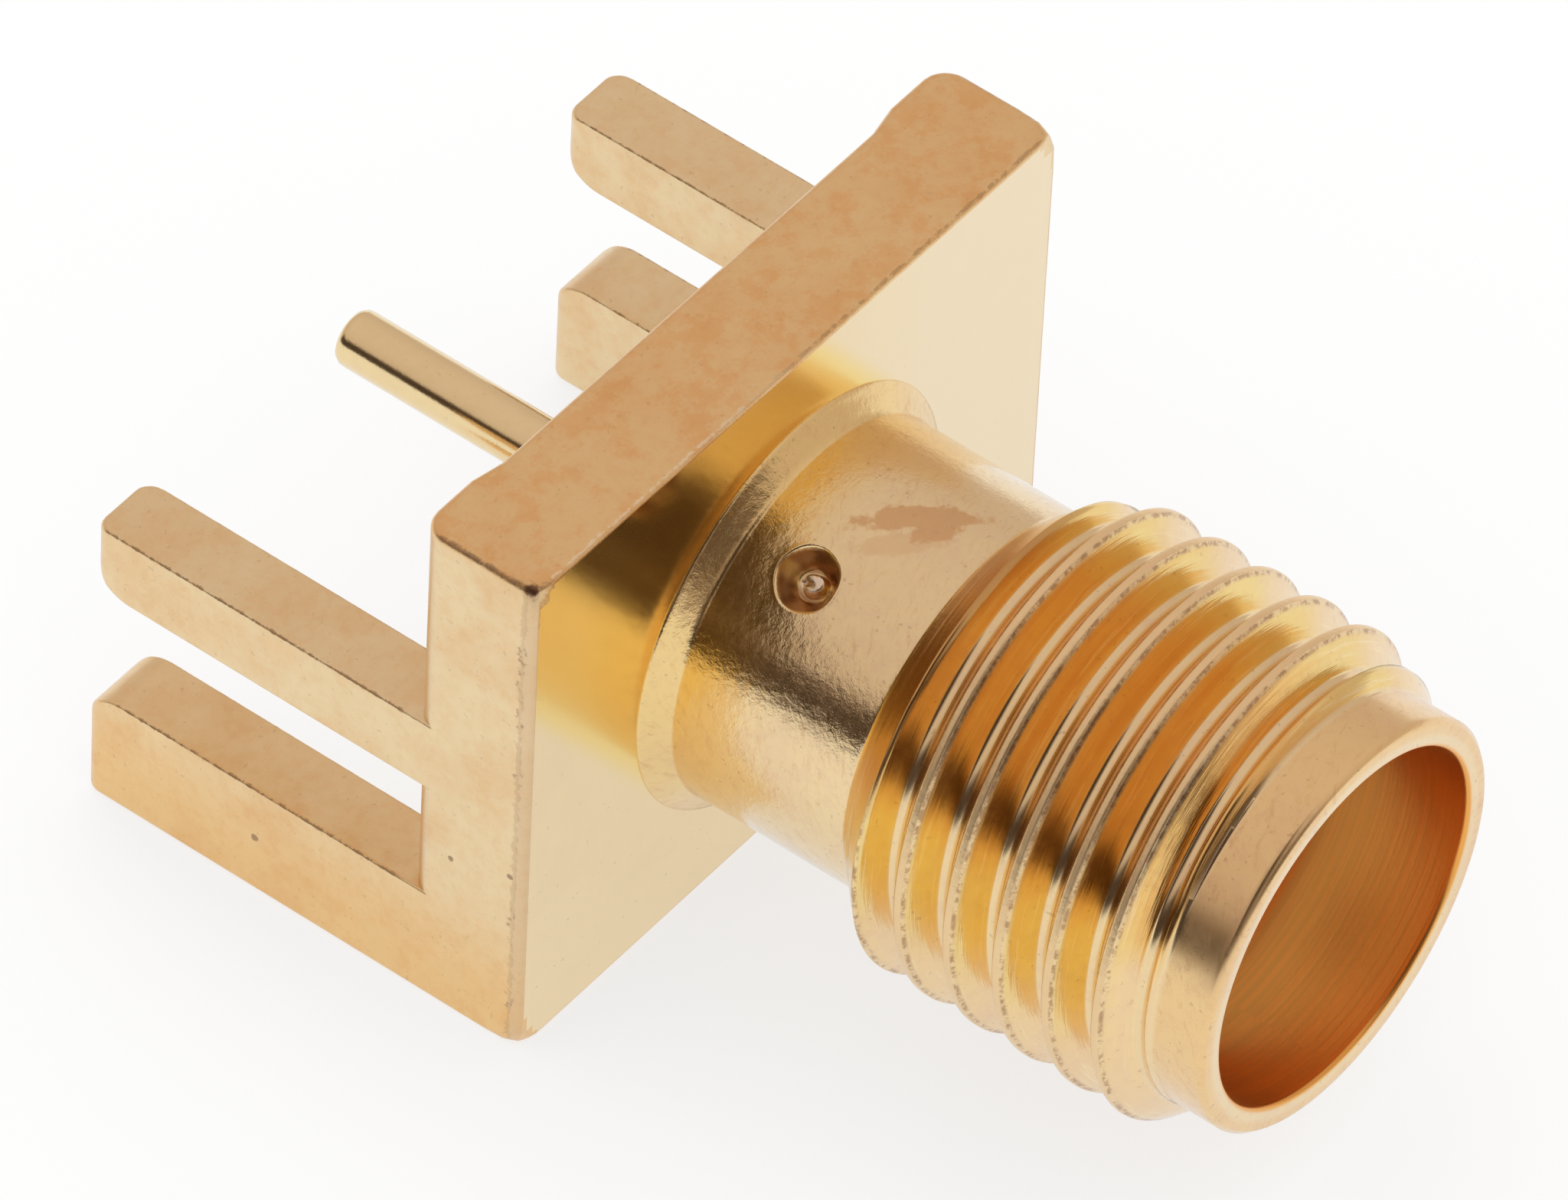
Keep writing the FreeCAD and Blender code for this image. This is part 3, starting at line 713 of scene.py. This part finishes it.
def flange_tints(tree, at, colour):
    """The flange's top darkened to tan as painted shade, its warmer lower left, and a suede-like mottling."""
    on_top = step(tree, at["Height"], 3.80, 3.90)
    # Painted shade: the top face is tinted darker and tanner than the sides.
    colour = layer(tree, colour, on_top, 0.85, (0.97, 0.83, 0.65, 1), "MULTIPLY")
    low_down = product(tree, step(tree, at["Height"], -1.3, -3.4), step(tree, at["X"], 2.0, -2.0))
    colour = blend(tree, low_down, colour, (1.0, 0.84, 0.60, 1), "MULTIPLY")
    suede = step(tree, noise(tree, at["Place"], 2.4, 5.0, 0.72), 0.45, 0.60)
    strength = total(tree, 0.35, product(tree, on_top, 0.6))
    return layer(tree, colour, suede, strength, (0.98, 0.87, 0.76, 1), "MULTIPLY")


def flange_edges(tree, at, colour, side, top):
    """The flange's brown top edge, the seam and band beside its front, and a line along its front top lip, a
    painted highlight on the left that turns brown on the right.
    """
    front = minus(tree, at["Reach"], FLANGE_FRONT)
    soft = edge_lines(tree, at, [(side, top, 0.055, 0.3)])
    colour = layer(tree, colour, soft, 0.8, (0.32, 0.17, 0.08, 1))
    seam_at = 0.165
    band = product(tree, step(tree, side, -0.10, -0.04), step(tree, front, seam_at, 0.13))
    colour = layer(tree, colour, band, 0.55, (0.74, 0.50, 0.28, 1))
    past_seam = minus(tree, front, seam_at)
    thin = edge_lines(tree, at, [(past_seam, 0.0, 0.034, 0.9)])
    spots = step(tree, noise(tree, at["Place"], 4.5, 3.0, 0.7), 0.53, 0.66)
    pits = product(tree, edge_lines(tree, at, [(past_seam, 0.0, 0.040, 1.2)]), spots)
    seam = greatest(tree, product(tree, thin, 0.30), product(tree, pits, 0.75))
    seam = product(tree, seam, step(tree, side, -0.06, -0.02))
    colour = blend(tree, seam, colour, (0.42, 0.25, 0.12, 1))
    # Painted highlight: a pale line along the front top lip on the left, brown on the right.
    lip = edge_lines(tree, at, [(minus(tree, front, 0.035), top, 0.018, 1.3)])
    dark_lip = step(tree, at["X"], -1.6, 0.6)
    lip_highlight_and_brown = blend(tree, dark_lip, (0.97, 0.82, 0.58, 1), (0.44, 0.27, 0.11, 1))
    return layer(tree, colour, lip, 0.55, lip_highlight_and_brown)


def leg_edges(tree, at, colour, side):
    """Broken dark lines along the legs' upper edges and the lowest edge."""
    inner = minus(tree, calc(tree, "ABSOLUTE", at["X"]), RAIL_X)
    lines = []
    for _, leg_top, _ in LEG_BANDS:
        upper = minus(tree, at["Height"], leg_top)
        lines.append(edge_lines(tree, at, [(side, upper, 0.022, 0.9), (inner, upper, 0.016, 0.9)]))
    on_legs = product(tree, greatest(tree, *lines), step(tree, at["Reach"], 0.1, 0.3))
    low = minus(tree, at["Height"], FLANGE_LOW)
    under = edge_lines(tree, at, [(side, low, 0.02, 1.0)])
    dots = greatest(tree, on_legs, product(tree, under, 0.7))
    return layer(tree, colour, dots, 0.7, (0.34, 0.18, 0.07, 1))


def flange_spots(tree, at, colour):
    """The tarnished near corner and three small brown spots on the left side."""
    fray = minus(tree, noise(tree, at["Place"], 12.0, 3.0, 0.7), 0.5)
    away = total(tree, distance(tree, at["Place"], (-4.77, -1.52, 3.89)), product(tree, fray, 0.10))
    corner = product(tree, step(tree, away, 0.125, 0.09), step(tree, away, 0.015, 0.045))
    colour = layer(tree, colour, corner, 0.9, (0.22, 0.10, 0.045, 1))
    for reach, height, size in ((-0.54, -1.21, 0.045), (2.31, -2.86, 0.065), (-1.40, -0.92, 0.05)):
        near = total(tree, distance(tree, at["Place"], (-FLANGE_X, reach, height)), product(tree, fray, 0.06))
        colour = layer(tree, colour, step(tree, near, size, size * 0.6), 0.75, (0.26, 0.13, 0.055, 1))
    return colour


def flange_plating():
    """Satin plating on the flange's outside and on the legs."""
    material, tree, shader = new_material("plated_flange")
    coat(shader, 0.5, 0.25)
    at = use(tree, PLACE)
    tone = plating_tone(tree, at, (0.91, 0.69, 0.39, 1), (0.86, 0.57, 0.27, 1), 0.42, 0.28, 0.14)
    side = minus(tree, calc(tree, "ABSOLUTE", at["X"]), FLANGE_X)
    top = minus(tree, at["Height"], FLANGE_TOP)
    colour = flange_tints(tree, at, tone["Color"])
    colour = flange_edges(tree, at, colour, side, top)
    colour = leg_edges(tree, at, colour, side)
    colour = flange_spots(tree, at, colour)
    rough = total(tree, 0.33, product(tree, tone["Dullness"], 0.14))
    height = total(tree, tone["Grain"], product(tree, tone["Dullness"], 0.5))
    finish_surface(tree, shader, colour, rough, height, 0.005)
    return material


def face_plating():
    """Smoother faced plating on the flange's front, with a painted reflection of the neck in warm gold where
    it mirrors the neck.
    """
    material, tree, shader = new_material("plated_face")
    coat(shader, 0.7, 0.10)
    at = use(tree, PLACE)
    tone = plating_tone(tree, at, (0.93, 0.71, 0.38, 1), (0.89, 0.66, 0.36, 1), 0.3, 0.12, 0.20)
    pale = step(tree, at["X"], -0.5, 3.0)
    colour = layer(tree, tone["Color"], pale, 0.7, (0.94, 0.77, 0.51, 1))
    # The painted reflection of the neck runs to the upper left; these are the shares of right and up square
    # to it.
    right, up = 0.796, 0.605
    aside = total(tree, product(tree, at["X"], right), product(tree, at["Height"], up))
    behind = minus(tree, product(tree, at["X"], up), product(tree, at["Height"], right))
    neck_reflection_paint = product(tree, step(tree, calc(tree, "ABSOLUTE", aside), 2.85, 2.5), step(tree, behind, 0.0, -0.6))
    colour = blend(tree, neck_reflection_paint, colour, (0.96, 0.70, 0.235, 1))
    rough = total(tree, 0.15, product(tree, tone["Dullness"], 0.06))
    tree.links.new(minus(tree, 0.7, product(tree, neck_reflection_paint, 0.62)), shader.inputs["Coat Weight"])
    finish_surface(tree, shader, colour, rough, tone["Grain"], 0.0004)
    return material


def barrel_zones(tree, at):
    """Masks over the barrel, each 1 on the part that it is named for."""
    reach, radius, turn = at["Reach"], at["Radius"], at["Turn"]
    threaded = product(tree, step(tree, reach, NECK_END - 0.02, NECK_END - 0.08),
                       step(tree, reach, NOSE_START - 0.01, NOSE_START + 0.05))
    # Turns round the barrel where the flanks get painted shade, and outer turns where they get a yellower
    # painted tint.
    shaded = product(tree, step(tree, turn, -28.0, 2.0), step(tree, turn, 76.0, 58.0))
    outer_nose = product(tree, step(tree, reach, -8.35, -8.6), step(tree, turn, 62.0, 74.0))
    bore = product(tree, step(tree, radius, BORE_R + 0.075, BORE_R + 0.02), step(tree, reach, -7.5, -7.6))
    return {
        "threaded": threaded,
        "shaded": shaded,
        "outer": greatest(tree, step(tree, turn, -32.0, -48.0), step(tree, turn, 88.0, 112.0), outer_nose),
        "crest": product(tree, step(tree, radius, CREST_R - 0.02, CREST_R - 0.005), threaded),
        "flank": product(tree, step(tree, radius, CREST_R - 0.025, CREST_R - 0.075),
                         step(tree, radius, ROOT_R + 0.005, ROOT_R + 0.045), threaded),
        "rim": product(tree, step(tree, radius, 3.03, 3.07), step(tree, radius, 3.102, 3.085), threaded),
        "upper": product(tree, step(tree, radius, 2.98, 3.06), threaded),
        "ramp": product(tree, step(tree, reach, NECK_END - 0.02, NECK_END - 0.05),
                        step(tree, reach, CREST_START - 0.05, CREST_START + 0.12), shaded,
                        step(tree, radius, 2.54, 2.60)),
        "neck": product(tree, step(tree, reach, NECK_END - 0.01, NECK_END + 0.03),
                        step(tree, radius, NECK_R - 0.11, NECK_R - 0.05)),
        "root": step(tree, reach, -2.9, -2.1),
        "punched": product(tree, step(tree, radius, NECK_R - 0.01, NECK_R - 0.05),
                           step(tree, reach, -3.3, -3.25)),
        "nose": product(tree, step(tree, reach, NOSE_START + 0.02, NOSE_START - 0.06),
                        step(tree, radius, 2.45, 2.55)),
        "bore": bore,
        "outside": minus(tree, 1.0, bore),
    }


def thread_colour(tree, at, zone, marks, colour):
    """The thread's flanks with their streaks and painted lit and shaded tints, its crests and their frayed
    edges, and a painted dark reflection on the rear chamfer.
    """
    flank, shaded, outer = zone["flank"], zone["shaded"], zone["outer"]
    # Painted light on the flanks: a lit tint, a yellower one in the outer turns, and deep orange painted
    # shade in the shaded turns.
    tint = blend(tree, outer, (1.02, 1.01, 0.72, 1), (1.03, 0.98, 0.93, 1))
    tint = blend(tree, shaded, tint, (0.99, 0.82, 0.50, 1))
    colour = layer(tree, colour, flank, 0.95, tint, "MULTIPLY")
    streak = product(tree, step(tree, marks["Band"], 0.42, 0.60), flank)
    # The streaks take the same painted lit, outer and shaded tones.
    streak_tone = blend(tree, outer, (0.93, 0.62, 0.22, 1), (0.90, 0.64, 0.36, 1))
    streak_tone = blend(tree, shaded, streak_tone, (0.82, 0.43, 0.13, 1))
    colour = layer(tree, colour, streak, 0.5, streak_tone)
    glint = product(tree, step(tree, marks["Height"], 0.57, 0.66), flank)
    colour = layer(tree, colour, glint, 0.45, (1.0, 0.80, 0.46, 1))
    colour = layer(tree, colour, zone["crest"], 0.85, (0.94, 0.67, 0.36, 1))
    # Painted dark reflection on the rear chamfer in the shaded turns.
    colour = layer(tree, colour, zone["ramp"], 0.7, (0.50, 0.24, 0.08, 1))
    fray = step(tree, noise(tree, at["Place"], 7.0, 5.0, 0.75), 0.44, 0.58)
    return layer(tree, colour, product(tree, zone["rim"], fray), 0.72, (0.40, 0.20, 0.09, 1))


def patch(tree, at, spots):
    """1 inside ragged ovals on the neck, each (y, angle, half length, half angle, tilt)."""
    wobble = minus(tree, noise(tree, at["Place"], 4.2, 5.0, 0.65), 0.5)
    nearest = None
    for reach, angle, half_y, half_a, tilt in spots:
        along = minus(tree, at["Reach"], reach)
        round_it = total(tree, minus(tree, at["Angle"], angle), product(tree, along, tilt))
        away = span(tree, calc(tree, "DIVIDE", along, half_y), calc(tree, "DIVIDE", round_it, half_a))
        nearest = away if nearest is None else calc(tree, "SMOOTH_MIN", nearest, away, 0.25)
    return step(tree, total(tree, nearest, product(tree, wobble, 1.9)), 1.16, 0.80)


def barrel_stain(tree, at, zone):
    """How stained the neck and nose are: two copper-coloured patches, and smears wiped at a slant."""
    copper = patch(tree, at, [(-3.39, 90.0, 0.56, 6.0, -19.2), (-3.66, 90.5, 0.24, 6.5, -10.0)])
    faint = patch(tree, at, [(-3.50, 98.4, 0.42, 5.0, -19.2)])
    slant = total(tree, product(tree, at["Reach"], 1.5), product(tree, at["Turn"], 0.025))
    wiped = node(tree, "ShaderNodeCombineXYZ", {0: product(tree, at["Turn"], 0.03), 1: slant}).outputs[0]
    smear = step(tree, noise(tree, wiped, 6.0, 6.0, 0.78, 0.8), 0.50, 0.68)
    on_neck = greatest(tree, product(tree, copper, 0.70), product(tree, faint, 0.28),
                       product(tree, smear, 0.30))
    return greatest(tree, product(tree, on_neck, zone["neck"]), product(tree, smear, zone["nose"], 0.32))


def stake_colour(tree, at, zone, colour):
    """The punched mark: gold floor, brown painted shade on its walls at both sides and a paler nub."""
    across = product(tree, minus(tree, at["Angle"], STAKE_ANGLE), math.radians(NECK_R))
    away = span(tree, across, minus(tree, at["Reach"], STAKE_Y))
    nub = step(tree, away, 0.19, 0.14)
    # Painted shade: the punched walls at both sides are browned.
    wall = product(tree, step(tree, away, 0.15, 0.20), step(tree, calc(tree, "ABSOLUTE", across), 0.06, 0.16))
    hollow = blend(tree, wall, (0.88, 0.60, 0.24, 1), (0.52, 0.27, 0.10, 1))
    return blend(tree, zone["punched"], colour, blend(tree, nub, hollow, (0.95, 0.76, 0.56, 1)))


def barrel_plating():
    """Bright turned plating on the barrel, duller on the crests and deep orange in the bore."""
    material, tree, shader = new_material("plated_barrel")
    coat(shader, 0.6, 0.12)
    at = use(tree, PLACE)
    zone = barrel_zones(tree, at)
    tone = plating_tone(tree, at, (0.92, 0.69, 0.37, 1), (0.86, 0.60, 0.36, 1), 0.35, 0.35, 0.22)
    marks = turning_marks(tree, at, at["Turn"], 15.0)
    bored = turning_marks(tree, at, product(tree, at["Turn"], 0.12), 26.0)

    stain = barrel_stain(tree, at, zone)
    colour = thread_colour(tree, at, zone, marks, tone["Color"])
    colour = blend(tree, zone["nose"], colour, (1.0, 0.90, 0.76, 1), "MULTIPLY")
    colour = blend(tree, stain, colour, (0.70, 0.36, 0.13, 1))
    colour = stake_colour(tree, at, zone, colour)
    colour = layer(tree, colour, zone["root"], zone["neck"], (1.0, 0.95, 0.76, 1), "MULTIPLY")
    arcs = step(tree, bored["Height"], 0.38, 0.62)
    deep_orange = blend(tree, arcs, (0.97, 0.44, 0.10, 1), (0.86, 0.42, 0.10, 1))
    colour = blend(tree, zone["bore"], colour, deep_orange)

    rough = total(tree, 0.15, product(tree, tone["Dullness"], 0.12, zone["outside"]),
                  product(tree, stain, 0.25), product(tree, zone["upper"], 0.10),
                  product(tree, zone["crest"], 0.12), product(tree, zone["bore"], 0.17),
                  greatest(tree, product(tree, zone["punched"], 0.12), product(tree, zone["nose"], 0.09)))

    worn_off = minus(tree, 0.55, product(tree, zone["outer"], 0.35))
    bare = greatest(tree, product(tree, zone["root"], 0.35), product(tree, zone["threaded"], worn_off))
    tree.links.new(product(tree, zone["outside"], minus(tree, 0.6, bare)), shader.inputs["Coat Weight"])

    lathe = product(tree, marks["Height"], total(tree, 0.15, product(tree, zone["flank"], 1.5)),
                    zone["outside"])
    drilled = product(tree, bored["Height"], zone["bore"], 1.1)
    peel = product(tree, noise(tree, at["Place"], 8.0, 4.0, 0.7),
                   total(tree, product(tree, zone["neck"], 2.4), product(tree, zone["crest"], 3.0)))
    finish_surface(tree, shader, colour, rough, total(tree, lathe, drilled, peel), 0.003)
    return material


def contact_plating():
    """Smooth plating on the contact and its pin."""
    material, tree, shader = new_material("plated_pin")
    coat(shader, 0.5, 0.1)
    at = use(tree, PLACE)
    tone = plating_tone(tree, at, (0.92, 0.70, 0.37, 1), (0.84, 0.60, 0.32, 1), 0.2, 0.2, 0.1)
    rough = total(tree, 0.15, product(tree, tone["Dullness"], 0.1))
    finish_surface(tree, shader, tone["Color"], rough, tone["Grain"], 0.001)
    return material


def sleeve_white():
    """White fluoropolymer of the insulator."""
    material, tree, shader = new_material("sleeve_white")
    at = use(tree, PLACE)
    cloudy = step(tree, noise(tree, at["Place"], 1.4, 3.0, 0.5), 0.35, 0.7)
    colour = blend(tree, cloudy, (0.86, 0.86, 0.84, 1), (0.80, 0.80, 0.77, 1))
    marks = turning_marks(tree, at, at["Turn"], 10.0)
    rough = total(tree, 0.42, product(tree, marks["Band"], 0.15))
    finish_surface(tree, shader, colour, rough, marks["Height"], 0.004)
    return material


# Pieces
def share_out_platings(body, turned_faces):
    """Gives the flange's front its faced plating and the rest of the flange and legs the satin one."""
    satin, faced = 1, 2
    front_line = FLANGE_FRONT * MM + 1e-6
    for face in body.data.polygons:
        if face.index >= turned_faces:
            in_front = face.center.y < front_line and face.normal.y < -0.999
            face.material_index = faced if in_front else satin


socket_body, turned_faces = make_socket_body()
insulator = make_insulator()
contact = make_contact()
for piece, materials, cad, slot in (
        (socket_body, (barrel_plating(), flange_plating(), face_plating()), "socket_body", "plated_body"),
        (insulator, (sleeve_white(),), "insulator", "insulator"),
        (contact, (contact_plating(),), "center_contact", "plated_contact")):
    for material in materials:
        piece.data.materials.append(material)
    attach(piece, "root")
    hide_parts(cad)
share_out_platings(socket_body, turned_faces)


# Floor, light and camera
def make_floor():
    """A plain pale floor under the lower legs."""
    bm = bmesh.new()
    reach = 400.0
    corners = [bm.verts.new((x, y, FLANGE_LOW - 0.002)) for x, y in
               ((-reach, -reach), (reach, -reach), (reach, reach), (-reach, reach))]
    bm.faces.new(corners)
    floor = mesh_object("floor", bm)
    material, tree, shader = new_material("floor_paper")
    shader.inputs["Roughness"].default_value = 0.9
    shader.inputs["Base Color"].default_value = (0.95, 0.95, 0.95, 1)
    path = node(tree, "ShaderNodeLightPath").outputs
    share = total(tree, product(tree, path["Is Camera Ray"], 0.72),
                  product(tree, path["Is Glossy Ray"], 0.80))
    seen = blend(tree, path["Is Glossy Ray"], (1, 1, 1, 1), (0.90, 0.92, 0.95, 1))
    glow = node(tree, "ShaderNodeEmission", {0: seen, 1: 1.0}).outputs[0]
    mixed = node(tree, "ShaderNodeMixShader", {0: share, 1: shader.outputs[0], 2: glow}).outputs[0]
    tree.links.new(mixed, tree.nodes["Material Output"].inputs[0])
    floor.data.materials.append(material)


def add_softbox(name, place, size, power):
    """A soft square lamp that points at the socket and isn't mirrored in it."""
    lamp = bpy.data.lights.new(name, "AREA")
    lamp.shape = "RECTANGLE"
    lamp.size = lamp.size_y = size * MM
    lamp.energy = power
    item = bpy.data.objects.new(name, lamp)
    item.location = Vector(place) * MM
    item.rotation_euler = Vector(place).to_track_quat("Z", "Y").to_euler()
    item.visible_glossy = False
    bpy.context.scene.collection.objects.link(item)


def make_studio():
    """The room: white for the camera and the floor, and graded where the plating mirrors it."""
    world = bpy.data.worlds.new("studio")
    bpy.context.scene.world = world
    world.use_nodes = True
    tree = world.node_tree
    tree.nodes.clear()
    toward = node(tree, "ShaderNodeTexCoord").outputs["Generated"]
    across, _, up = node(tree, "ShaderNodeSeparateXYZ", {0: toward}).outputs

    def facing(direction, start, end):
        """1 close to a direction, 0 far from it."""
        near = node(tree, "ShaderNodeVectorMath", {0: toward, 1: direction}, operation="DOT_PRODUCT")
        return step(tree, near.outputs[1], start, end)

    ceiling = blend(tree, step(tree, up, 0.2, 0.95), (0.62, 0.54, 0.50, 1), (0.70, 0.63, 0.61, 1))
    band = product(tree, step(tree, up, -0.06, 0.03), step(tree, up, 0.46, 0.30),
                   step(tree, across, -0.35, -0.60))
    lens = facing((-0.553, -0.4075, 0.727), 0.80, 0.93)
    ahead = facing((-0.05, -0.983, 0.172), 0.90, 0.96)
    dark = greatest(tree, band, lens, product(tree, ahead, 0.9))
    room = layer(tree, ceiling, dark, 0.98, (0.045, 0.026, 0.019, 1))
    room = blend(tree, step(tree, up, 0.0, -0.04), room, (0.9, 0.9, 0.9, 1))
    path = node(tree, "ShaderNodeLightPath").outputs
    mirrored = node(tree, "ShaderNodeBackground", {0: room, 1: 1.0}).outputs[0]
    plain = node(tree, "ShaderNodeBackground", {0: (1.0, 1.0, 1.0, 1), 1: 1.0}).outputs[0]
    seen = node(tree, "ShaderNodeMixShader", {0: path["Is Glossy Ray"], 1: plain, 2: mirrored}).outputs[0]
    node(tree, "ShaderNodeOutputWorld", {0: seen})


def add_camera():
    """The camera, at the photograph's place and angle."""
    lens = bpy.data.cameras.new("camera")
    lens.sensor_width = 36.0
    lens.lens = CAMERA_LENS
    lens.clip_start, lens.clip_end = 0.02, 5.0
    camera = bpy.data.objects.new("camera", lens)
    turns = Euler([math.radians(turn) for turn in CAMERA_TURNS])
    camera.matrix_world = Matrix.LocRotScale(Vector(CAMERA_PLACE) * MM, turns, None)
    bpy.context.scene.collection.objects.link(camera)
    bpy.context.scene.camera = camera


make_floor()
make_studio()
add_softbox("softbox_above", (90, 120, 300), 220, 0.12)
add_camera()
bpy.context.scene.view_settings.view_transform = "Standard"
